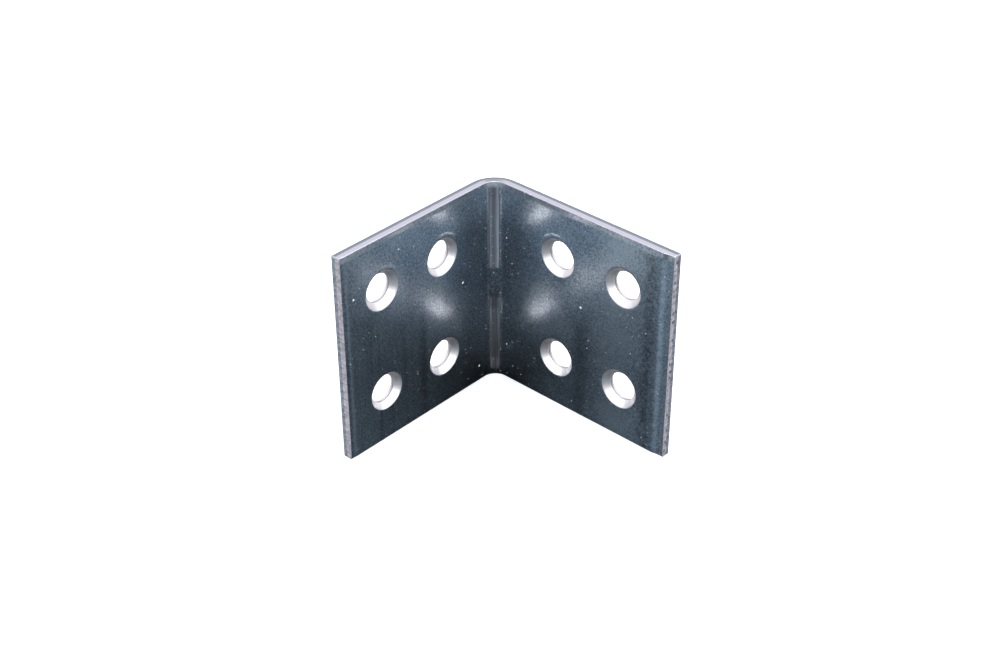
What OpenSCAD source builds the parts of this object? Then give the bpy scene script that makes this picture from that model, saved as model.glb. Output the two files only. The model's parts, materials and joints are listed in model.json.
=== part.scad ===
// Broad angle bracket: one folded steel sheet, two leaves at a right angle,
// four countersunk screw holes in each leaf.
// It stands on its lower sheet edges with the fold upright.
// Leaf A runs towards -Y from the fold and leaf B towards +X.
// The countersinks open on the inside of the angle.

/* [Overall] */
// height of both leaves along the fold
height = 40; // [30:0.5:120]
// length of leaf A, from the outside corner to its free end
leaf_a = 38; // [31.5:0.1:120]
// length of leaf B, from the outside corner to its free end
leaf_b = 40.8; // [33:0.1:120]
// thickness of the steel sheet
sheet = 2; // [1.5:0.1:4]

/* [Fold] */
// radius on the inside of the fold
fold_inner_r = 2.5; // [1:0.1:6]
// width of the punch groove pressed along the inside of the fold
groove_w = 1.7; // [0.6:0.1:3]
// depth of the punch groove
groove_depth = 0.25; // [0.1:0.05:0.6]
// length left unpressed between the two runs of the groove
groove_gap = 5.7; // [2:0.1:20]
// distance from each groove run to the nearest sheet edge
groove_margin = 0.9; // [0.3:0.1:5]

/* [Screw holes] */
// diameter of the straight part of each hole
hole_d = 5.2; // [4.2:0.1:7]
// diameter of each countersink at the inside face
sink_d = 7.3; // [5.6:0.1:8.8]
// full angle of the countersink cone
sink_angle = 90; // [75:1:120]
// growth in radius where the punch broke through at the back
exit_flare = 0.2; // [0.05:0.05:0.4]
// depth of that break-through zone
exit_depth = 0.4; // [0.1:0.05:0.8]

/* [Hole layout] */
// distance between the two hole columns, along a leaf
column_pitch = 14.2; // [9:0.1:20]
// distance between the two hole rows, up the leaf
row_pitch = 20.4; // [9:0.1:31]
// distance from leaf A's free end to its nearest hole centres
end_margin_a = 8.9; // [5:0.1:15]
// distance from leaf B's free end to its nearest hole centres
end_margin_b = 9.9; // [5:0.1:18]

/* [Sheared edges] */
// width of the drawn-down strip along the inside top and bottom edges
long_roll_w = 1; // [0.2:0.1:2]
// drop of that strip at the edge
long_roll_drop = 0.12; // [0.05:0.01:0.4]
// width of the drawn-down strip at leaf A's free end
end_roll_w_a = 1.2; // [0.2:0.1:4]
// width of the drawn-down strip at leaf B's free end
end_roll_w_b = 2.3; // [0.2:0.1:4]
// drop of leaf A's end strip
end_roll_drop_a = 0.12; // [0.05:0.01:0.6]
// drop of leaf B's end strip
end_roll_drop_b = 0.3; // [0.05:0.01:0.6]

/* [Hidden] */
$fn = 96;
// how far a cutting shape reaches past the metal
over = 1;
fold_outer_r = fold_inner_r + sheet;
sink_depth = (sink_d - hole_d) / 2 / tan(sink_angle / 2);
far_a = leaf_a - end_margin_a;
near_a = far_a - column_pitch;
far_b = leaf_b - end_margin_b;
near_b = far_b - column_pitch;
low_row = (height - row_pitch) / 2;
high_row = (height + row_pitch) / 2;
groove_run = (height - groove_gap) / 2 - groove_margin;

bracket();

// origin under the middle of the bounding box, at floor level
module bracket() {
  color([0.36, 0.40, 0.45])
  translate([-leaf_b / 2, leaf_a / 2, 0])
  difference() {
    folded_sheet();
    long_edge_rolls();
    punch_groove(groove_margin);
    punch_groove(height - groove_margin - groove_run);
    leaf_a_holes();
    leaf_b_holes();
  }
}

// the L section with its true fold, drawn up the full height
module folded_sheet() {
  linear_extrude(height = height)
  difference() {
    union() {
      translate([0, -leaf_a])
      square([sheet, leaf_a - fold_outer_r]);
      translate([fold_outer_r, -sheet])
      square([leaf_b - fold_outer_r, sheet]);
      fold_section();
    }
    end_roll_a();
    end_roll_b();
  }
}

module fold_section() {
  translate([fold_outer_r, -fold_outer_r])
  intersection() {
    difference() {
      circle(r = fold_outer_r);
      circle(r = fold_inner_r);
    }
    translate([-fold_outer_r, 0])
    square([fold_outer_r, fold_outer_r]);
  }
}

// what the shear drew down at the inside of leaf A's free end
module end_roll_a() {
  polygon([
    [sheet, -leaf_a + end_roll_w_a],
    [sheet - end_roll_drop_a, -leaf_a],
    [sheet - end_roll_drop_a, -leaf_a - over],
    [sheet + over, -leaf_a - over],
    [sheet + over, -leaf_a + end_roll_w_a]
  ]);
}

// the same at leaf B's free end
module end_roll_b() {
  polygon([
    [leaf_b - end_roll_w_b, -sheet],
    [leaf_b, -sheet + end_roll_drop_b],
    [leaf_b + over, -sheet + end_roll_drop_b],
    [leaf_b + over, -sheet - over],
    [leaf_b - end_roll_w_b, -sheet - over]
  ]);
}

// drawn-down strips along the inside top and bottom edges, round the fold as well
module long_edge_rolls() {
  long_edge_roll();
  translate([0, 0, height])
  mirror([0, 0, 1])
  long_edge_roll();
}

module long_edge_roll() {
  // along leaf A
  translate([0, -fold_outer_r, 0])
  rotate([90, 0, 0])
  linear_extrude(height = leaf_a - fold_outer_r + over)
  roll_section(sheet);
  // along leaf B
  translate([fold_outer_r, 0, 0])
  rotate([90, 0, 90])
  linear_extrude(height = leaf_b - fold_outer_r + over)
  mirror([1, 0])
  roll_section(sheet);
  // round the inside of the fold
  translate([fold_outer_r, -fold_outer_r, 0])
  rotate([0, 0, 90])
  rotate_extrude(angle = 90)
  polygon([
    [fold_inner_r, long_roll_w],
    [fold_inner_r + long_roll_drop, 0],
    [fold_inner_r + long_roll_drop, -over],
    [fold_inner_r / 2, -over],
    [fold_inner_r / 2, long_roll_w]
  ]);
}

// section of the wedge removed from an inside face at distance face from the back
module roll_section(face) {
  polygon([
    [face, long_roll_w],
    [face - long_roll_drop, 0],
    [face - long_roll_drop, -over],
    [face + fold_inner_r / 2, -over],
    [face + fold_inner_r / 2, long_roll_w]
  ]);
}

// one run of the groove that the folding punch left, with pointed ends
module punch_groove(base_z) {
  translate([fold_outer_r, -fold_outer_r, base_z])
  rotate([0, 0, 135])
  translate([fold_inner_r / 2, 0, 0])
  rotate([90, 0, 90])
  linear_extrude(height = fold_inner_r / 2 + groove_depth)
  polygon([
    [-groove_w / 2, groove_w / 4],
    [0, 0],
    [groove_w / 2, groove_w / 4],
    [groove_w / 2, groove_run - groove_w / 4],
    [0, groove_run],
    [-groove_w / 2, groove_run - groove_w / 4]
  ]);
}

module leaf_a_holes() {
  for (along = [near_a, far_a])
    for (up = [low_row, high_row])
      translate([0, -along, up])
      rotate([0, 90, 0])
      screw_hole();
}

module leaf_b_holes() {
  for (along = [near_b, far_b])
    for (up = [low_row, high_row])
      translate([along, 0, up])
      rotate([90, 0, 0])
      screw_hole();
}

// a hole along +Z from the back face at 0 to the inside face at sheet
module screw_hole() {
  translate([0, 0, -over])
  cylinder(h = sheet + 2 * over, d = hole_d);
  translate([0, 0, -over])
  cylinder(
    h = exit_depth + over,
    r1 = hole_d / 2 + exit_flare * (exit_depth + over) / exit_depth,
    r2 = hole_d / 2
  );
  translate([0, 0, sheet - sink_depth])
  cylinder(
    h = sink_depth + over,
    d1 = hole_d,
    d2 = sink_d + 2 * over * tan(sink_angle / 2)
  );
}
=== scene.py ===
"""Angle bracket in zinc-finished sheet steel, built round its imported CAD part."""

import json
import math

import bpy
import numpy as np
from mathutils import Matrix, Vector


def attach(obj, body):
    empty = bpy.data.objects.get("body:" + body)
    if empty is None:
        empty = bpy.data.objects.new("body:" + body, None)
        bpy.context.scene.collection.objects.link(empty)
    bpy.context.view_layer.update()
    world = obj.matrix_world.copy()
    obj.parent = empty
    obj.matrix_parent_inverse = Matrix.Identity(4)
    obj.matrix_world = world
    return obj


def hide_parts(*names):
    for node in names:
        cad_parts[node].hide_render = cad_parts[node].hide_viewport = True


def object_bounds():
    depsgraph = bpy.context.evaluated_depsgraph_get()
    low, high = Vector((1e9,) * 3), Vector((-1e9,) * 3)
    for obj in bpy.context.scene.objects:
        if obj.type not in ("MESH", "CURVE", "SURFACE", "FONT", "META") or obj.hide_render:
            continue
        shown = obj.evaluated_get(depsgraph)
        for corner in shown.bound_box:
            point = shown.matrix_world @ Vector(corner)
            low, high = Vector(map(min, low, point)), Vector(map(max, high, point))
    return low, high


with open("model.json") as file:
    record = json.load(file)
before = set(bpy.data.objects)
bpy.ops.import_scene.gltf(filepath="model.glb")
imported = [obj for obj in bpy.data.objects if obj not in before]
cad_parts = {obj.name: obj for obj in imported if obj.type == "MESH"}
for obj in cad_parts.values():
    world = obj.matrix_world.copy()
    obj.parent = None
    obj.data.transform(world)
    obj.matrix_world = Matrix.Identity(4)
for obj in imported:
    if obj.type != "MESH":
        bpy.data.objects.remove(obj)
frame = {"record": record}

MM = 0.001
CAD_LOW, CAD_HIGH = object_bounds()
RECORD = frame["record"]
MOUNTS = {mount["name"]: mount for mount in RECORD["mounts"]}

# ---------------------------------------------------------------- sizes, in millimetres
LEAF_A = (CAD_HIGH.y - CAD_LOW.y) / MM
LEAF_B = (CAD_HIGH.x - CAD_LOW.x) / MM
HEIGHT = (CAD_HIGH.z - CAD_LOW.z) / MM
SHEET = 2.0
FOLD_R = 2.5
FOLD_OUTER_R = FOLD_R + SHEET
HALF_FOLD = FOLD_R * math.pi / 4

COLUMN_PITCH = MOUNTS["leaf_a_screws"]["dims"]["spacing_x_mm"]
ROW_PITCH = MOUNTS["leaf_a_screws"]["dims"]["spacing_y_mm"]
HOLE_R = MOUNTS["leaf_a_screws"]["dims"]["hole_r_mm"]
SINK_DEPTH = 1.05
BREAKOUT_R = 2.86
BREAKOUT_DEPTH = 0.34
SINK_LIP = 0.09

GROOVE_HALF_W = 0.82
GROOVE_DEPTH = 0.24
GROOVE_FLANK = 0.2
GROOVE_POINT = 0.42
GROOVE_RAMP = 3.0
GROOVE_RUNS = ((1.0, 16.9), (22.6, 39.2))

LONG_STRIP_W = 1.0
LONG_STRIP_DROP = 0.12
BACK_EDGE_R = 0.12
FRONT_EDGE_R = 0.07

# mesh fineness
PATCH = 4.6
PATCH_CELLS = 24
CELL = 0.42
FINE_CELL = 0.16
FOLD_CELL = 0.105

rng = np.random.default_rng(7)


# ---------------------------------------------------------------- the unrolled sheet
# A place on the sheet is (along, up, deep): along the inside of the unrolled sheet with 0
# on the fold and leaf B positive, up from the lower edge, and deep from the inside face.

def along_b(from_corner):
    """Place along leaf B at a distance from the outside corner."""
    return from_corner - FOLD_OUTER_R + HALF_FOLD


def along_a(from_corner):
    return -along_b(from_corner)


END_A = along_a(LEAF_A)
END_B = along_b(LEAF_B)


def folded(places):
    """Places on the sheet as points in the object's frame, in metres."""
    along, up, deep = places.T
    turned = np.clip(along, -HALF_FOLD, HALF_FOLD)
    angle = 3 * math.pi / 4 - turned / FOLD_R
    radius = FOLD_R + deep
    past = along - turned
    x = FOLD_OUTER_R + radius * np.cos(angle) + np.maximum(past, 0)
    y = -FOLD_OUTER_R + radius * np.sin(angle) + np.minimum(past, 0)
    corner = np.array([CAD_LOW.x, CAD_HIGH.y, CAD_LOW.z])
    return np.stack([x, y, up], 1) * MM + corner


def ease(value):
    value = np.clip(value, 0, 1)
    return value * value * (3 - 2 * value)


def steps(start, stop, cell):
    """Even lines from start up to, and not including, stop."""
    count = max(1, round(abs(stop - start) / cell))
    return list(start + (stop - start) * np.arange(count) / count)


def screw_holes():
    """Centre on the sheet, countersink radius and roughness of the back edge of each hole."""
    near_a = CAD_HIGH.y / MM - MOUNTS["leaf_a_screws"]["pos_m"][1] / MM - COLUMN_PITCH / 2
    near_b = MOUNTS["leaf_b_screws"]["pos_m"][0] / MM - CAD_LOW.x / MM - COLUMN_PITCH / 2
    middle = MOUNTS["leaf_a_screws"]["pos_m"][2] / MM
    low, high = middle - ROW_PITCH / 2, middle + ROW_PITCH / 2
    far_a, far_b = near_a + COLUMN_PITCH, near_b + COLUMN_PITCH
    return [
        (along_a(near_a), high, 3.55, 0.025),
        (along_a(far_a), high, 3.70, 0.015),
        (along_a(near_a), low, 3.63, 0.035),
        (along_a(far_a), low, 3.55, 0.035),
        (along_b(near_b), high, 3.60, 0.02),
        (along_b(far_b), high, 3.66, 0.085),
        (along_b(near_b), low, 3.64, 0.045),
        (along_b(far_b), low, 3.70, 0.05),
    ]


HOLES = screw_holes()
LOW_ROW = min(hole[1] for hole in HOLES)
HIGH_ROW = max(hole[1] for hole in HOLES)


# ---------------------------------------------------------------- relief of the inside face

def smooth_wave(along, up, pitch, seed):
    """Slow seeded waves between -1 and 1."""
    draw = np.random.default_rng(seed)
    total = np.zeros_like(along)
    for _ in range(5):
        angle, phase = draw.uniform(0, 2 * math.pi, 2)
        turn = 2 * math.pi / (pitch * draw.uniform(0.7, 1.5))
        total += np.sin(turn * (along * math.cos(angle) + up * math.sin(angle)) + phase)
    return total / 5


def long_strip_drop(up):
    """What the shear drew down along the top and bottom edges."""
    gap = np.minimum(up, HEIGHT - up)
    slope = np.clip(1 - gap / LONG_STRIP_W, 0, None)
    return LONG_STRIP_DROP * slope


def end_strip_drop(along):
    """The same at the two free ends, wider at leaf B."""
    gap_a = along - END_A
    gap_b = END_B - along
    drop_a = 0.07 * ease((1.35 - gap_a) / 0.75) + 0.03 * np.clip(1 - gap_a / 0.6, 0, 1)
    drop_b = 0.22 * ease((2.5 - gap_b) / 1.5) + 0.06 * np.clip(1 - gap_b / 1.1, 0, 1)
    return drop_a + drop_b


def groove_drop(along, up):
    """The two runs that the folding punch pressed into the fold."""
    total = np.zeros_like(along)
    for low, high in GROOVE_RUNS:
        inside = np.minimum(up - low, high - up)
        half = GROOVE_HALF_W * np.clip(inside / GROOVE_POINT, 0, 1)
        wall = ease((half - np.abs(along)) / GROOVE_FLANK + 0.5) * ease(inside / GROOVE_RAMP)
        floor = (FOLD_R + GROOVE_DEPTH) / np.cos(np.clip(along / FOLD_R, -0.5, 0.5)) - FOLD_R
        drawn = 0.012 * np.sin(along * 19 + 0.6) + 0.009 * np.sin(along * 41 + up * 0.05)
        lip = -0.035 * np.exp(-(((np.abs(along) - half - 0.14) / 0.13) ** 2)) * (inside > 0)
        total += wall * (floor + drawn) + lip
    return total


def inside_drop(along, up):
    """Depth of the inside face below its plain plane."""
    drop = long_strip_drop(up) + end_strip_drop(along) + groove_drop(along, up)
    rough_gap = np.exp(-((along / 1.2) ** 2)) * ease((up - 17) / 0.5) * ease((22.6 - up) / 0.5)
    drop += 0.005 * rough_gap * smooth_wave(along, up, 0.9, 31)
    return drop + 0.004 * smooth_wave(along, up, 9, 5)


def fold_top_lift(along, up, deep):
    """The fold pulls the sheet's edge down outside and swells it a little inside."""
    near = np.exp(-((along / 1.9) ** 2))
    across = np.clip(deep / SHEET, 0, 1)
    top = np.exp(-(HEIGHT - up) / 1.2) * (0.06 * (1 - across) - 0.15 * across)
    low = np.exp(-up / 1.2) * 0.1 * across
    return near * (top + low)


# ---------------------------------------------------------------- the mesh

class SheetSkin:
    """Collects places on the sheet, their finish marks and the faces between them."""

    MARKS = ("sink", "land", "breakout", "sheared", "snapped", "from_hole")

    def __init__(self):
        self.places = []
        self.marks = []
        self.faces = []

    def point(self, along, up, deep, **marks):
        self.places.append((along, up, deep))
        self.marks.append([marks.get(name, 0.0) for name in self.MARKS])
        return len(self.places) - 1

    def loop(self, places, **marks):
        return [self.point(*place, **marks) for place in places]

    def band(self, first, second):
        """Faces between two closed loops, the second following inwards from the first."""
        count = len(first)
        for i in range(count):
            j = (i + 1) % count
            self.faces.append((first[i], first[j], second[j], second[i]))


def grid_lines():
    """Lines along and up the sheet, tight at edges, holes and the fold."""
    edge = 0.13
    out_a = sorted(hole[0] for hole in HOLES if hole[0] < 0)
    out_b = sorted(hole[0] for hole in HOLES if hole[0] > 0)
    along = steps(END_A + edge, END_A + 1.7, FINE_CELL)
    here = END_A + 1.7
    for centre in (out_a[0], out_a[-1]):
        along += steps(here, centre - PATCH, CELL)
        along += steps(centre - PATCH, centre + PATCH, 2 * PATCH / PATCH_CELLS)
        here = centre + PATCH
    along += steps(here, -HALF_FOLD, CELL) + steps(-HALF_FOLD, -1.3, FINE_CELL)
    along += steps(-1.3, 1.3, FOLD_CELL) + steps(1.3, HALF_FOLD, FINE_CELL)
    here = HALF_FOLD
    for centre in (out_b[0], out_b[-1]):
        along += steps(here, centre - PATCH, CELL)
        along += steps(centre - PATCH, centre + PATCH, 2 * PATCH / PATCH_CELLS)
        here = centre + PATCH
    along += steps(here, END_B - 2.7, CELL) + steps(END_B - 2.7, END_B - edge, FINE_CELL)
    along += [END_B - edge]
    up = steps(edge, 1.2, FINE_CELL)
    here = 1.2
    for centre in sorted({hole[1] for hole in HOLES}):
        cell = CELL if centre < HEIGHT / 2 else 0.3
        up += steps(here, centre - PATCH, cell)
        up += steps(centre - PATCH, centre + PATCH, 2 * PATCH / PATCH_CELLS)
        here = centre + PATCH
    up += steps(here, HEIGHT - 1.2, CELL) + steps(HEIGHT - 1.2, HEIGHT - edge, FINE_CELL)
    up += [HEIGHT - edge]
    return np.array(along), np.array(up)


def patch_span(lines, centre):
    first = int(np.argmin(np.abs(lines - (centre - PATCH))))
    return first, first + PATCH_CELLS


def face_grid(skin, along, up, back):
    """One face of the sheet, open at the hole patches. Returns the point at each crossing."""
    closed = np.zeros((len(along) - 1, len(up) - 1), bool)
    for centre, row, _, _ in HOLES:
        i0, i1 = patch_span(along, centre)
        j0, j1 = patch_span(up, row)
        closed[i0:i1, j0:j1] = True
    inset = BACK_EDGE_R if back else 0
    ids = -np.ones((len(along), len(up)), int)
    for i, a in enumerate(along):
        for j, z in enumerate(up):
            around = closed[max(i - 1, 0):i + 1, max(j - 1, 0):j + 1]
            if around.all() and 0 < i < len(along) - 1 and 0 < j < len(up) - 1:
                continue
            a_here = np.clip(a, END_A + inset, END_B - inset) if back else a
            z_here = np.clip(z, inset, HEIGHT - inset) if back else z
            if back:
                a_here = squeeze(a, END_A, END_B, inset)
                z_here = squeeze(z, 0, HEIGHT, inset)
            ids[i, j] = skin.point(a_here, z_here, SHEET if back else 0.0, from_hole=9.0)
    for i in range(len(along) - 1):
        for j in range(len(up) - 1):
            if closed[i, j]:
                continue
            quad = (ids[i, j], ids[i + 1, j], ids[i + 1, j + 1], ids[i, j + 1])
            skin.faces.append(quad[::-1] if back else quad)
    return ids


def squeeze(value, low, high, inset):
    """Moves the lines near an edge inwards, to leave room for the rounded back edge."""
    reach = 1.6
    near = min(value - low, high - value)
    if near >= reach:
        return value
    moved = inset + near * (reach - inset) / reach
    return low + moved if value - low < high - value else high - moved


def border(ids):
    """The grid's outer loop, anticlockwise seen from the inside of the angle."""
    loop = list(ids[:, 0]) + list(ids[-1, 1:])
    return loop + list(ids[-2::-1, -1]) + list(ids[0, -2:0:-1])


def patch_border(ids, along, up, hole):
    i0, i1 = patch_span(along, hole[0])
    j0, j1 = patch_span(up, hole[1])
    part = ids[i0:i1 + 1, j0:j1 + 1]
    return border(part)


def hole_ring(square, hole, radius, share, wobble=0):
    """A ring between the square patch (share 0) and the round hole (share 1)."""
    centre = np.array(hole[:2])
    out = square - centre
    angle = np.arctan2(out[:, 1], out[:, 0])
    round_part = np.stack([np.cos(angle), np.sin(angle)], 1) * (radius + wobble)[:, None]
    return centre + (1 - share) * out + share * round_part


def ragged(angle, amount, seed):
    """How far the punched edge strays from a circle, all round."""
    draw = np.random.default_rng(seed)
    total = np.zeros_like(angle)
    for turns in range(2, 13):
        total += draw.normal() * np.sin(turns * angle + draw.uniform(0, 6.28)) / turns ** 0.6
    chips = np.clip(np.sin(5 * angle + draw.uniform(0, 6)) - 0.75, 0, 1) * 4
    return amount * (0.6 * total + chips * draw.uniform(0.4, 1))


def punch_hole(skin, front, back, hole, seed):
    """Joins the two face patches through one countersunk hole."""
    square = np.array([skin.places[i][:2] for i in front])
    out = square - np.array(hole[:2])
    angle = np.arctan2(out[:, 1], out[:, 0])
    sink_r, rough = hole[2], hole[3]
    plain = np.zeros_like(angle)
    stray = ragged(angle, rough, seed)
    out_of_round = 0.012 * np.sin(2 * angle + seed)
    land_r = HOLE_R + 0.01
    rows = []
    for share in (0.35, 0.62, 0.82, 0.93):
        rows.append((sink_r + 0.55, share, 0.0, plain, {}))
    rows.append((sink_r + 0.3, 1, 0.0, plain, {}))
    rows.append((sink_r + SINK_LIP, 1, 0.0, out_of_round, {}))
    rows.append((sink_r + 0.03, 1, 0.018, out_of_round, {"sink": 0.6}))
    rows.append((sink_r - 0.05, 1, 0.07, out_of_round, {"sink": 1}))
    for share in (0.2, 0.4, 0.6, 0.8, 0.95):
        radius = sink_r + (land_r - sink_r) * share
        rows.append((radius, 1, SINK_DEPTH * share + 0.02, out_of_round, {"sink": 1}))
    rows.append((land_r, 1, SINK_DEPTH + 0.04, plain, {"sink": 0.9, "land": 0.1}))
    rows.append((land_r, 1, SINK_DEPTH + 0.1, plain, {"sink": 0.6, "land": 0.4}))
    rows.append((land_r, 1, SINK_DEPTH + 0.28, stray * 0.1, {"sink": 0.4, "land": 0.6}))
    rows.append((land_r, 1, SINK_DEPTH + 0.36, stray * 0.1, {"land": 1}))
    rows.append((land_r + 0.01, 1, 1.42, stray * 0.15, {"land": 1}))
    rows.append((land_r + 0.02, 1, SHEET - BREAKOUT_DEPTH, stray * 0.3, {"land": 1}))
    rows.append((land_r + 0.1, 1, SHEET - BREAKOUT_DEPTH * 0.62, stray * 0.8, {"breakout": 1}))
    rows.append((BREAKOUT_R - 0.06, 1, SHEET - 0.07, stray, {"breakout": 1}))
    rows.append((BREAKOUT_R, 1, SHEET - 0.015, stray, {"breakout": 1}))
    rows.append((BREAKOUT_R + 0.06, 1, SHEET, stray, {}))
    rows.append((BREAKOUT_R + 0.3, 1, SHEET, stray * 0.4, {}))
    last = front
    for radius, share, deep, wobble, marks in rows:
        ring = hole_ring(square, hole, plain + radius, share, wobble)
        reach = np.hypot(*(ring - np.array(hole[:2])).T)
        ids = [
            skin.point(p[0], p[1], deep, from_hole=r, **marks)
            for p, r in zip(ring, reach)
        ]
        skin.band(last, ids)
        last = ids
    back_square = np.array([skin.places[i][:2] for i in back])
    for share in (0.9, 0.66, 0.36):
        ring = hole_ring(back_square, hole, plain + BREAKOUT_R + 0.6, share, plain)
        ids = skin.loop([(p[0], p[1], SHEET) for p in ring], from_hole=5.0)
        skin.band(last, ids)
        last = ids
    skin.band(last, back)


def edge_section():
    """(outwards, deep, flat part) of the sheared edge, from the inside face to the back."""
    rows = [(-0.05, 0.006, 0.3), (-0.018, 0.028, 0.8), (0, 0.07, 1)]
    flat = SHEET - BACK_EDGE_R - 0.07
    rows += [(0, 0.07 + flat * share, 1) for share in (0.12, 0.3, 0.5, 0.7, 0.88, 1)]
    for turn in np.radians([18, 36, 54, 72]):
        out = -BACK_EDGE_R * (1 - math.cos(turn))
        rows.append((out, SHEET - BACK_EDGE_R * (1 - math.sin(turn)), 1 - turn / 1.9))
    return rows


def sheared_edge(skin, front, back):
    """Closes the sheet round its whole rim: two long edges and two free ends."""
    start = np.array([skin.places[i] for i in front])
    at_a = start[:, 0] < END_A + 0.2
    at_b = start[:, 0] > END_B - 0.2
    at_low = start[:, 1] < 0.2
    at_high = start[:, 1] > HEIGHT - 0.2
    ends = at_a | at_b
    drop = inside_drop(
        np.clip(start[:, 0], END_A, END_B), np.clip(start[:, 1], 0, HEIGHT)
    )
    last = front
    for k, (out, deep, flat) in enumerate(edge_section()):
        along, up = start[:, 0].copy(), start[:, 1].copy()
        across = deep / SHEET
        tear = 0.045 * smooth_wave(up * 1.0, along + deep * 2.2, 0.7, 50 + k) - 0.045
        tear = tear * flat * (0.35 + 0.65 * math.sin(math.pi * min(across * 1.1, 1)))
        nick = 0.008 * smooth_wave(along, up + 3 * deep, 3.1, 80 + k // 3) - 0.008
        nick = nick * flat
        along[at_a] = END_A - out - tear[at_a]
        along[at_b] = END_B + out + tear[at_b]
        up[at_low] = -out - nick[at_low]
        up[at_high] = HEIGHT + out + nick[at_high]
        here = deep + drop * (1 - across) ** 1.5
        ids = []
        for i in range(len(front)):
            marks = {"snapped": flat} if ends[i] else {"sheared": flat}
            if ends[i] and (at_low[i] or at_high[i]):
                marks = {"snapped": flat * 0.5, "sheared": flat * 0.5}
            ids.append(skin.point(along[i], up[i], here[i], from_hole=9.0, **marks))
        skin.band(ids, last)
        last = ids
    skin.band(back, last)


def sheet_metal():
    """The whole bracket as one closed skin."""
    skin = SheetSkin()
    along, up = grid_lines()
    inside = face_grid(skin, along, up, back=False)
    outside = face_grid(skin, along, up, back=True)
    for number, hole in enumerate(HOLES):
        punch_hole(
            skin,
            patch_border(inside, along, up, hole),
            patch_border(outside, along, up, hole),
            hole,
            11 + number,
        )
    inside_count = len(along) * len(up)
    sheared_edge(skin, border(inside), border(outside))
    return skin


def bracket_mesh():
    skin = sheet_metal()
    places = np.array(skin.places, float)
    marks = np.array(skin.marks, float)
    along, up, deep = places.T
    flat_front = deep < 1e-9
    shaped = places.copy()
    drop = inside_drop(along, up)
    shaped[flat_front, 2] = drop[flat_front]
    in_hole = (deep > 0) & (marks[:, 0] > 0)
    shaped[in_hole, 2] += (drop * np.clip(1 - deep, 0, 1))[in_hole]
    shaped[:, 1] += fold_top_lift(along, up, deep)
    points = folded(shaped)
    mesh = bpy.data.meshes.new("bracket_sheet")
    mesh.from_pydata([tuple(p) for p in points], [], skin.faces)
    mesh.update()
    mesh.shade_smooth()
    place = mesh.attributes.new("place", "FLOAT_VECTOR", "POINT")
    place.data.foreach_set("vector", places.astype(np.float32).ravel())
    for column, name in enumerate(SheetSkin.MARKS):
        layer = mesh.attributes.new(name, "FLOAT", "POINT")
        layer.data.foreach_set("value", marks[:, column].astype(np.float32))
    return mesh


# ---------------------------------------------------------------- finish, with painted shade and highlight

class Flow:
    """One socket of a node tree. Sums on it add Math nodes."""

    def __init__(self, tree, socket):
        self.tree = tree
        self.socket = socket

    @classmethod
    def node(cls, tree, kind, settings=None, inputs=None, output=0):
        """Any node: its settings first, then the values or links of its sockets."""
        made = tree.nodes.new(kind)
        for name, value in (settings or {}).items():
            if name == "stops":
                set_stops(made.color_ramp, value)
            else:
                setattr(made, name, value)
        for key, value in (inputs or {}).items():
            socket = made.inputs[key]
            if isinstance(value, Flow):
                tree.links.new(value.socket, socket)
            else:
                socket.default_value = value
        return cls(tree, made.outputs[output])

    def math(self, operation, *values, clamp=False):
        inputs = dict(enumerate((self, *values)))
        settings = {"operation": operation, "use_clamp": clamp}
        return Flow.node(self.tree, "ShaderNodeMath", settings, inputs)

    def __add__(self, other):
        return self.math("ADD", other)

    __radd__ = __add__

    def __mul__(self, other):
        return self.math("MULTIPLY", other)

    __rmul__ = __mul__

    def __sub__(self, other):
        return self.math("SUBTRACT", other)

    def __rsub__(self, other):
        return Flow.node(
            self.tree, "ShaderNodeMath", {"operation": "SUBTRACT"}, {0: other, 1: self}
        )

    def __truediv__(self, other):
        return self.math("DIVIDE", other)

    def __neg__(self):
        return self.math("MULTIPLY", -1.0)

    def __pow__(self, other):
        return self.math("POWER", other)

    def __abs__(self):
        return self.math("ABSOLUTE")

    def clamp(self):
        return self.math("ADD", 0.0, clamp=True)

    def rise(self, low, high):
        """0 below low, 1 above high, smooth between; low above high falls instead."""
        settings = {"interpolation_type": "SMOOTHSTEP"}
        inputs = {0: self, 1: min(low, high), 2: max(low, high), 3: 0.0, 4: 1.0}
        if low > high:
            inputs[3], inputs[4] = 1.0, 0.0
        return Flow.node(self.tree, "ShaderNodeMapRange", settings, inputs)

    def hump(self, middle, half):
        """1 at middle, falling to 0 at half either side."""
        return abs(self - middle).rise(half, 0.0)


def set_stops(ramp, stops):
    while len(ramp.elements) < len(stops):
        ramp.elements.new(0.5)
    for element, (place, colour) in zip(ramp.elements, stops):
        element.position = place
        element.color = colour


def tint(tree, amount, first, second, mode="MIX"):
    """Mixes two colours, each a tuple or a link."""
    settings = {"data_type": "RGBA", "blend_type": mode}
    first = (*first, 1.0) if isinstance(first, tuple) else first
    second = (*second, 1.0) if isinstance(second, tuple) else second
    return Flow.node(tree, "ShaderNodeMix", settings, {0: amount, 6: first, 7: second}, 2)


def mark(tree, name):
    return Flow.node(
        tree, "ShaderNodeAttribute", {"attribute_name": name}, output="Fac"
    )


ZINC = (0.88, 0.94, 1.0)
ZINC_DARK = (0.36, 0.42, 0.49)
SINK_METAL = (0.93, 0.89, 0.88)
LAND_METAL = (0.84, 0.84, 0.87)
LIP_SHADOW = (0.40, 0.38, 0.42)
BREAKOUT_METAL = (0.78, 0.78, 0.81)
SHEARED_METAL = (0.50, 0.49, 0.56)
SHEARED_BACK = (0.20, 0.23, 0.27)
FOLD_TOP = (0.32, 0.33, 0.37)
HAZE = (0.55, 0.60, 0.66)
SNAPPED_METAL = (0.52, 0.48, 0.52)
SNAPPED_BACK = (0.70, 0.74, 0.84)
PIT_BROWN = (0.12, 0.09, 0.08)
DUST = (0.88, 0.87, 0.85)
GROOVE_FLOOR = (0.38, 0.37, 0.39)
GROOVE_RAIL_HIGHLIGHT = (1.0, 0.96, 0.98)
BLACK = (0.0, 0.0, 0.0)

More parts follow.
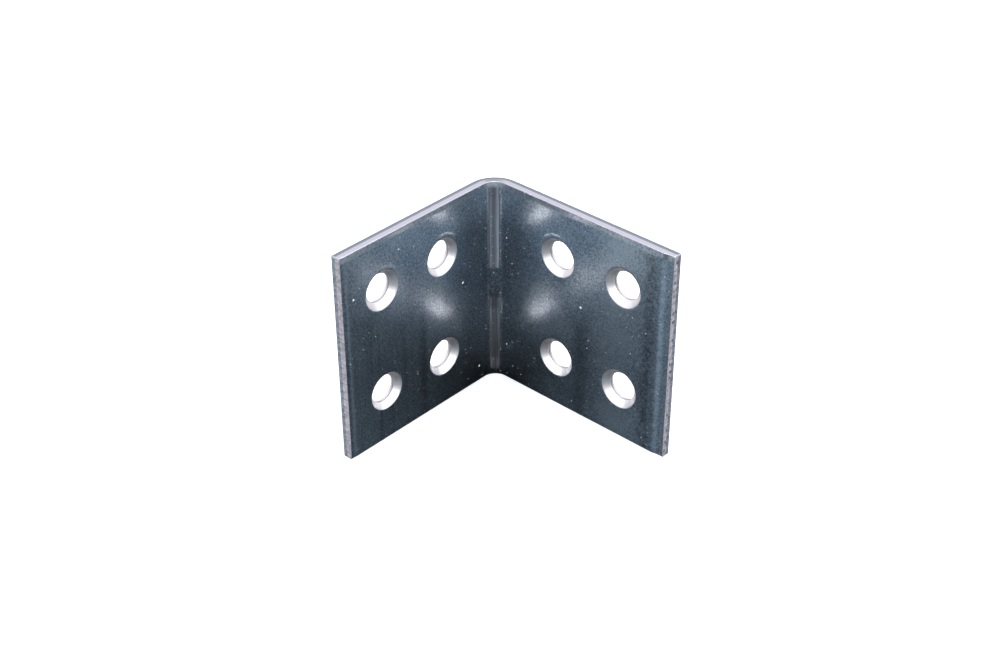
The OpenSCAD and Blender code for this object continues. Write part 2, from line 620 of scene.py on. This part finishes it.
# the loose white flecks that show, as (place along, up, radius)
FLECKS = (
    (along_a(35.5), 31.3, 0.32),
    (along_a(10.0), 22.8, 0.36),
    (along_a(25.0), 36.2, 0.2),
    (along_a(6.1), 3.2, 0.3),
    (along_b(22.0), 22.5, 0.36),
    (along_b(6.3), 24.8, 0.22),
    (along_b(5.0), 29.5, 0.2),
    (along_b(5.0), 7.3, 0.24),
)


class Places:
    """Where a point is on the unrolled sheet, ready for the patterns of the finish."""

    def __init__(self, tree):
        self.tree = tree
        self.place = Flow.node(
            tree, "ShaderNodeAttribute", {"attribute_name": "place"}, output="Vector"
        )
        self.along, self.up, self.deep = (
            Flow.node(tree, "ShaderNodeSeparateXYZ", {}, {0: self.place}, axis)
            for axis in "XYZ"
        )
        self.solid = Flow.node(tree, "ShaderNodeTexCoord", {}, output="Object")

    def stretched(self, along, up, deep=1.0, turn=0.0):
        settings = {"vector_type": "POINT"}
        inputs = {"Vector": self.place, "Rotation": (0, 0, turn), "Scale": (along, up, deep)}
        return Flow.node(self.tree, "ShaderNodeMapping", settings, inputs)

    def distance(self, along, up):
        settings = {"operation": "DISTANCE"}
        inputs = {0: self.place, 1: (along, up, 0)}
        return Flow.node(self.tree, "ShaderNodeVectorMath", settings, inputs, "Value")

    def noise(self, scale, detail=2.0, rough=0.5, along=1.0, up=1.0, turn=0.0):
        inputs = {
            "Vector": self.stretched(along, up, 1.0, turn),
            "Scale": scale,
            "Detail": detail,
            "Roughness": rough,
        }
        return Flow.node(self.tree, "ShaderNodeTexNoise", {}, inputs)

    def grain(self, size, detail=2.0, rough=0.5):
        """Even noise through the metal with features of a size in millimetres."""
        inputs = {
            "Vector": self.solid,
            "Scale": 1 / (size * MM),
            "Detail": detail,
            "Roughness": rough,
        }
        return Flow.node(self.tree, "ShaderNodeTexNoise", {}, inputs)

    def specks(self, across, along, cell, radius, share):
        """Scattered dots on a face: one in each of a share of the cells."""
        spot = Flow.node(self.tree, "ShaderNodeCombineXYZ", {}, {0: across, 1: along})
        settings = {"feature": "F1", "voronoi_dimensions": "2D"}
        inputs = {"Vector": spot, "Scale": 1 / cell, "Randomness": 0.9}
        size = radius / cell
        near, colour = (
            Flow.node(self.tree, "ShaderNodeTexVoronoi", settings, inputs, name)
            for name in ("Distance", "Color")
        )
        pick = Flow.node(self.tree, "ShaderNodeSeparateColor", {}, {0: colour}, 0)
        return near.rise(size * 1.3, size * 0.5) * pick.math("GREATER_THAN", 1 - share)

    def scratches(self, turn, pitch, length, share):
        """Fine hairlines that run at one slant."""
        lines = self.noise(1.0, 1.0, 0.5, along=1 / pitch, up=1 / length, turn=turn)
        return lines.rise(1 - share, 1 - share + 0.02)


def rolled_face(tree, at, inner):
    """The zinc on the flat faces: grain, clouds, drawn streaks, a blotchy band, darker bands and painted shade near
    the fold.
    """
    grain = at.grain(0.36, 3, 0.65).rise(0.34, 0.66)
    cloud = at.grain(5.9, 3, 0.55)
    drawn = at.noise(1.0, 2, 0.5, along=0.8, up=0.02)
    wander = at.along + (at.noise(0.6, 3) - 0.5) * 2.6
    level = 0.1 + grain * 0.85 + (cloud - 0.5) * 0.9 + at.along.hump(along_b(29.5), 6.0) * 0.35
    # Painted shade near the fold on the inside faces, a little stronger higher up and fading out at the top edge.
    shade = abs(at.along).rise(15.0, 4.0) * (0.3 + at.up.rise(12, 25) * 0.12)
    shade = shade * (1 - at.up.rise(31, 37) * 0.9)
    low_half = at.up.rise(27, 14)
    # Darker vertical bands on the lower half of each leaf.
    dark_band_b = wander.hump(along_b(22.2), 2.4) * low_half * 0.34
    dark_band_a = wander.hump(along_a(20.2), 1.4) * low_half * 0.36
    blotchy = wander.hump(along_b(36.6), 2.0) * at.up.rise(39.2, 38.2) * (0.2 + at.noise(0.9, 3).rise(0.6, 0.4) * 0.3)
    streak = (drawn - 0.5) * at.along.rise(along_a(21), along_a(25)) * at.up.rise(26, 16) * 1.6
    dark_strip = at.along.hump(along_a(37.55), 0.5) * 0.1
    light_strip = at.along.hump(along_a(36.9), 0.45) + at.along.hump(along_b(39.0), 0.7)
    light_strip = light_strip + at.up.rise(38.7, 39.1) * (1 - at.along.rise(14, 26) * 0.85)
    level = level + light_strip * inner * 0.35
    colour = tint(tree, level.clamp(), ZINC_DARK, ZINC)
    dim = shade + dark_band_a + dark_band_b + blotchy + streak + dark_strip - light_strip * 0.25
    colour = tint(tree, (dim * inner).clamp(), colour, BLACK)
    return colour, grain


def groove_finish_and_highlight(tree, at):
    """(mask, colour) of the punched groove: dull drawn floor and two rails made lighter by painted highlight."""
    inside = sum(
        (at.up.rise(low, low + 0.5) * at.up.rise(high, high - 0.5) for low, high in GROOVE_RUNS),
        0.0,
    )
    # Painted highlight on the groove's raised rails, with a painted dark line (dip) beside one rail in the upper run;
    # the drawn streaks added after are the groove's finish.
    upper = at.up.rise(18, 21)
    wide_a = at.along.hump(-0.66, 0.45)
    thin_a = at.along.hump(-0.62, 0.28)
    thin_b = at.along.hump(0.6, 0.34)
    wide_b = at.along.hump(0.78, 0.42)
    dip = at.along.hump(-0.14, 0.3)
    rail_highlight = upper * (wide_a * 0.35 + thin_b - dip * 0.6) + (1 - upper) * (thin_a + wide_b) * (0.45 + at.up.rise(7, 13) * 0.45)
    drawn = at.noise(1.0, 2, 0.6, along=4.5, up=0.1)
    rail_highlight = 0.15 + rail_highlight * 0.85 + (drawn - 0.5) * 1.3
    colour = tint(tree, rail_highlight.clamp(), GROOVE_FLOOR, GROOVE_RAIL_HIGHLIGHT)
    return inside * abs(at.along).rise(1.15, 0.9), colour


def white_flecks(at):
    ragged_edge = (at.noise(3.0, 2) - 0.5) * 0.35
    total = 0.0
    for along, up, radius in FLECKS:
        near = at.distance(along, up) + ragged_edge
        total = total + near.rise(radius * 0.8, radius * 0.35)
    return total.clamp()


def polish_halos(at):
    """Faint rubbed arcs just outside the rims of the two upper holes by the fold."""
    total = 0.0
    for hole, strength in ((HOLES[0], 1.1), (HOLES[4], 1.1), (HOLES[1], 0.4)):
        arc = at.distance(hole[0], hole[1]).hump(4.35, 0.4)
        foldwards = abs(at.along).rise(abs(hole[0]) + 1.8, abs(hole[0]) - 0.6)
        total = total + arc * (at.up - hole[1]).rise(2.4, 4.0) * foldwards * strength
    return total * at.noise(1.3, 2).rise(0.2, 0.65)


def zinc_steel():
    material = bpy.data.materials.new("zinc_steel")
    material.use_nodes = True
    tree = material.node_tree
    shader = tree.nodes["Principled BSDF"]
    at = Places(tree)
    sink, land, breakout = (mark(tree, name) for name in ("sink", "land", "breakout"))
    sheared, snapped = mark(tree, "sheared"), mark(tree, "snapped")
    skin = (1 - sink - land - breakout - sheared - snapped).clamp()
    inner = skin * at.deep.rise(0.5, 0.2)

    colour, grain = rolled_face(tree, at, inner)
    haze = abs(at.along + (at.noise(1.1, 2) - 0.5) * 1.6).rise(2.7, 0.2)
    hazy_lip = haze * at.up.rise(38.6, 40.1) * inner
    rubbed = polish_halos(at) * inner
    colour = tint(tree, rubbed, colour, ZINC)
    in_groove, groove_colour = groove_finish_and_highlight(tree, at)
    colour = tint(tree, in_groove * inner, colour, groove_colour)
    gap = at.up.rise(15.6, 17.4) * at.up.rise(23.8, 22.0) * abs(at.along).rise(2.3, 0.5) * inner
    scuffed = 0.16 + at.noise(1.6, 3).rise(0.65, 0.4) * 0.3 + at.up.rise(18.6, 17.3) * 0.2
    colour = tint(tree, gap * scuffed, colour, BLACK)
    colour = tint(tree, hazy_lip, colour, HAZE)
    over_row = at.up - LOW_ROW - at.up.rise(19.9, 20.1) * (HIGH_ROW - LOW_ROW)
    sink_shade = over_row.rise(-1.8, 1.4) * 0.18 + over_row.rise(-0.2, 2.2) * at.deep.rise(0.1, 0.9) * 0.3
    colour = tint(tree, sink, colour, tint(tree, sink_shade, SINK_METAL, BLACK))
    colour = tint(tree, land, colour, LAND_METAL)
    colour = tint(tree, breakout, colour, BREAKOUT_METAL)
    # Painted shadow: a thin dark ring where the countersink meets the land.
    colour = tint(tree, (sink * land * 5).clamp(), colour, LIP_SHADOW)

    back_zone = (at.deep + (at.noise(1.2, 2) - 0.5) * 0.15).rise(1.08, 1.3)
    beads = at.specks(at.along, at.deep * 1.6, 1.7, 0.2, 0.5) * at.deep.rise(0.4, 0.15)
    # The cut faces darken towards their inside edge: painted shade that dims the highlight on the edge's rounding.
    cut = tint(tree, at.deep.rise(0.2, 0.05) * 0.75, SHEARED_METAL, SHEARED_BACK)
    apex = abs(at.along + (at.noise(1.6, 2) - 0.5) * 1.2).rise(1.8, 0.5) * at.up.rise(20, 38)
    cut = tint(tree, apex, cut, FOLD_TOP)
    cut = tint(tree, beads, cut, ZINC)
    cut = tint(tree, back_zone, cut, SHEARED_BACK)
    colour = tint(tree, sheared, colour, cut)
    tear_line = at.deep + (at.noise(1.1, 3) - 0.5) * 1.3
    torn = tint(tree, tear_line.rise(0.75, 1.3), SNAPPED_METAL, SNAPPED_BACK)
    pits = at.specks(at.up, at.deep * 1.2, 1.5, 0.36, 0.75) * at.deep.hump(0.9, 0.8)
    pits = pits * at.along.rise(0, 1)
    fibre = at.noise(1.0, 3, 0.6, along=1.0, up=2.6)
    torn = tint(tree, fibre.rise(0.62, 0.35) * 0.42, torn, BLACK)
    torn = tint(tree, pits, torn, PIT_BROWN)
    colour = tint(tree, snapped, colour, torn)

    dust = at.specks(at.along, at.up, 3.1, 0.11, 0.13) * 0.6
    fold_dust = 0.35 + abs(at.along).rise(11, 4) * 0.35
    dust = dust + at.specks(at.along, at.up, 1.35, 0.1, 0.18) * fold_dust
    dust = (dust * (1 - in_groove * 0.7) + white_flecks(at)).clamp() * inner
    hairline = at.scratches(0.9, 0.16, 6.0, 0.27) + at.scratches(-0.6, 0.15, 7.0, 0.25)
    colour = tint(tree, hairline.clamp() * skin * 0.5, colour, ZINC)
    colour = tint(tree, dust, colour, DUST)

    torn_front = snapped * at.deep.rise(1.3, 0.9)
    rough = 0.30 + sink * 0.22 + land * 0.1 + sheared * 0.1 + snapped * 0.3
    rough = rough + dust * 0.4 + in_groove * inner * 0.06 + rubbed * 0.2 + hazy_lip * 0.2
    metallic = 1 - dust * 0.8 - torn_front * 0.5 - rubbed * 0.25 - breakout * 0.45
    metallic = (metallic - land * 0.45 * (1 - sink) - hazy_lip * 0.18).clamp()

    pebble = at.grain(0.22, 2) - 0.5
    height = pebble * skin * (0.012 + gap * 0.006) + snapped * pebble * 0.1
    height = height + sheared * (at.noise(5.0, 2) - 0.5) * 0.02
    bump = Flow.node(
        tree, "ShaderNodeBump", {}, {"Height": height, "Strength": 1.0, "Distance": MM}
    )
    brushed = tree.nodes.new("ShaderNodeBsdfPrincipled")
    for coat, gloss in ((shader, rough), (brushed, rough - 0.13)):
        tree.links.new(colour.socket, coat.inputs["Base Color"])
        tree.links.new(gloss.clamp().socket, coat.inputs["Roughness"])
        tree.links.new(metallic.socket, coat.inputs["Metallic"])
        tree.links.new(bump.socket, coat.inputs["Normal"])
    both = Flow.node(tree, "ShaderNodeMixShader", {}, {0: 0.55})
    tree.links.new(shader.outputs[0], both.socket.node.inputs[1])
    tree.links.new(brushed.outputs[0], both.socket.node.inputs[2])
    tree.links.new(both.socket, tree.nodes["Material Output"].inputs["Surface"])
    return material


# ---------------------------------------------------------------- studio

def studio_light():
    """A pale tent above, a darker room below the table edge, lighter in front."""
    world = bpy.data.worlds.new("studio")
    bpy.context.scene.world = world
    world.use_nodes = True
    tree = world.node_tree
    ray = Flow.node(tree, "ShaderNodeTexCoord", {}, output="Generated")
    east = Flow.node(tree, "ShaderNodeSeparateXYZ", {}, {0: ray}, "X")
    north = Flow.node(tree, "ShaderNodeSeparateXYZ", {}, {0: ray}, "Y")
    rise = Flow.node(tree, "ShaderNodeSeparateXYZ", {}, {0: ray}, "Z")
    strength = (0.51 + 0.32 * east - 0.51 * north).math("MAXIMUM", 0.3).clamp()
    below = tint(tree, strength, (0, 0, 0), (0.77, 1.01, 1.24))
    tent = rise.rise(-0.45, 0.4)
    colour = tint(tree, tent, below, (1.15, 1.15, 1.2))
    background = tree.nodes["Background"]
    tree.links.new(colour.socket, background.inputs["Color"])
    background.inputs["Strength"].default_value = 1.0


def flat_sheet(name, reach, material):
    """A level sheet under the bracket, part of the studio."""
    mesh = bpy.data.meshes.new(name)
    corners = [(-reach, -reach, 0), (reach, -reach, 0), (reach, reach, 0), (-reach, reach, 0)]
    mesh.from_pydata(corners, [], [(0, 1, 2, 3)])
    sheet = bpy.data.objects.new(name, mesh)
    bpy.context.scene.collection.objects.link(sheet)
    sheet.location.z = CAD_LOW.z
    mesh.materials.append(material)
    return sheet


def plain_card(name, colour, glow):
    material = bpy.data.materials.new(name)
    material.use_nodes = True
    shader = material.node_tree.nodes["Principled BSDF"]
    shader.inputs["Base Color"].default_value = (*colour, 1)
    shader.inputs["Roughness"].default_value = 1.0
    shader.inputs["Specular IOR Level"].default_value = 0.0
    shader.inputs["Emission Color"].default_value = (1, 1, 1, 1)
    shader.inputs["Emission Strength"].default_value = glow
    return material


def graded_card():
    """Clear film holding painted floor shade: it lets little light up beside the bracket and more further out."""
    material = bpy.data.materials.new("graded_card")
    material.use_nodes = True
    tree = material.node_tree
    tree.nodes.remove(tree.nodes["Principled BSDF"])
    spot = Flow.node(tree, "ShaderNodeTexCoord", {}, output="Object")
    corner = (CAD_LOW.x, CAD_HIGH.y, 0)
    out = Flow.node(tree, "ShaderNodeVectorMath", {"operation": "SUBTRACT"}, {0: spot, 1: corner})
    reach = Flow.node(tree, "ShaderNodeVectorMath", {"operation": "LENGTH"}, {0: out}, "Value")
    # Painted floor shade: the film passes less light close to the bracket's corner and more further out, then less
    # again past 66 to 80 mm.
    share = ((reach / 0.048) ** 1.2 * 0.25).math("MINIMUM", 0.45)
    share = share * (1 - 0.8 * reach.rise(0.066, 0.080))
    shade_beside_bracket = Flow.node(tree, "ShaderNodeCombineColor", {}, {0: share, 1: share, 2: share})
    east = Flow.node(tree, "ShaderNodeSeparateXYZ", {}, {0: out}, "X")
    north = Flow.node(tree, "ShaderNodeSeparateXYZ", {}, {0: out}, "Y")
    round_fold = (east - north).math("LESS_THAN", FOLD_OUTER_R * (2 - math.sqrt(2)) * MM)
    behind = (east.math("LESS_THAN", 0.0) + north.math("GREATER_THAN", 0.0) + round_fold).clamp()
    level = tint(tree, behind, shade_beside_bracket, (0.52, 0.47, 0.42))
    clear = Flow.node(tree, "ShaderNodeBsdfTransparent", {}, {"Color": level})
    tree.links.new(clear.socket, tree.nodes["Material Output"].inputs["Surface"])
    return material


def studio_floor():
    """A white light table, and the dark card that the metal mirrors in its place, which carries painted floor shade
    around the bracket.
    """
    table = flat_sheet("light_table", 3.0, plain_card("pale_table", (0.93, 0.93, 0.93), 0.4))
    table.visible_glossy = False
    table.visible_shadow = False
    card = flat_sheet("dark_card", 2.9, graded_card())
    card.visible_camera = False
    card.visible_diffuse = False


def soft_lamp(name, place, size, power, target):
    lamp = bpy.data.lights.new(name, "AREA")
    lamp.shape = "SQUARE"
    lamp.size = size
    lamp.energy = power
    holder = bpy.data.objects.new(name, lamp)
    bpy.context.scene.collection.objects.link(holder)
    holder.location = place
    holder.rotation_euler = (target - Vector(place)).to_track_quat("-Z", "Y").to_euler()


def studio_camera(centre):
    """The view into the angle, looking a third of the way down."""
    turn, tilt, roll = (math.radians(value) for value in (42.58, 33.79, -0.16))
    away, aside, above = 281.9 * MM, 1.05 * MM, -4.08 * MM
    ahead = Vector((
        -math.sin(turn) * math.cos(tilt), math.cos(turn) * math.cos(tilt), -math.sin(tilt)
    ))
    level = Vector((math.cos(turn), math.sin(turn), 0))
    upright = level.cross(ahead)
    right = level * math.cos(roll) + upright * math.sin(roll)
    top = upright * math.cos(roll) - level * math.sin(roll)
    lens = bpy.data.cameras.new("camera")
    lens.lens = 61.39
    lens.sensor_width = 36
    lens.clip_start = 0.01
    camera = bpy.data.objects.new("camera", lens)
    bpy.context.scene.collection.objects.link(camera)
    spot = centre - ahead * away - right * aside - top * above
    turned = Matrix((right, top, -ahead)).transposed().to_4x4()
    camera.matrix_world = Matrix.Translation(spot) @ turned
    bpy.context.scene.camera = camera


centre = (CAD_LOW + CAD_HIGH) / 2
studio_camera(centre)
studio_floor()
studio_light()
soft_lamp("key", (-0.05, 0.25, 1.1), 0.7, 10, centre)
soft_lamp("front", (0.56, -0.58, 0.61), 0.3, 3.2, centre)
bpy.context.scene.view_settings.view_transform = "Standard"

bracket = bpy.data.objects.new("zinc_bracket", bracket_mesh())
bpy.context.scene.collection.objects.link(bracket)
bracket.data.materials.append(zinc_steel())
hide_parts("bracket")
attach(bracket, "root")
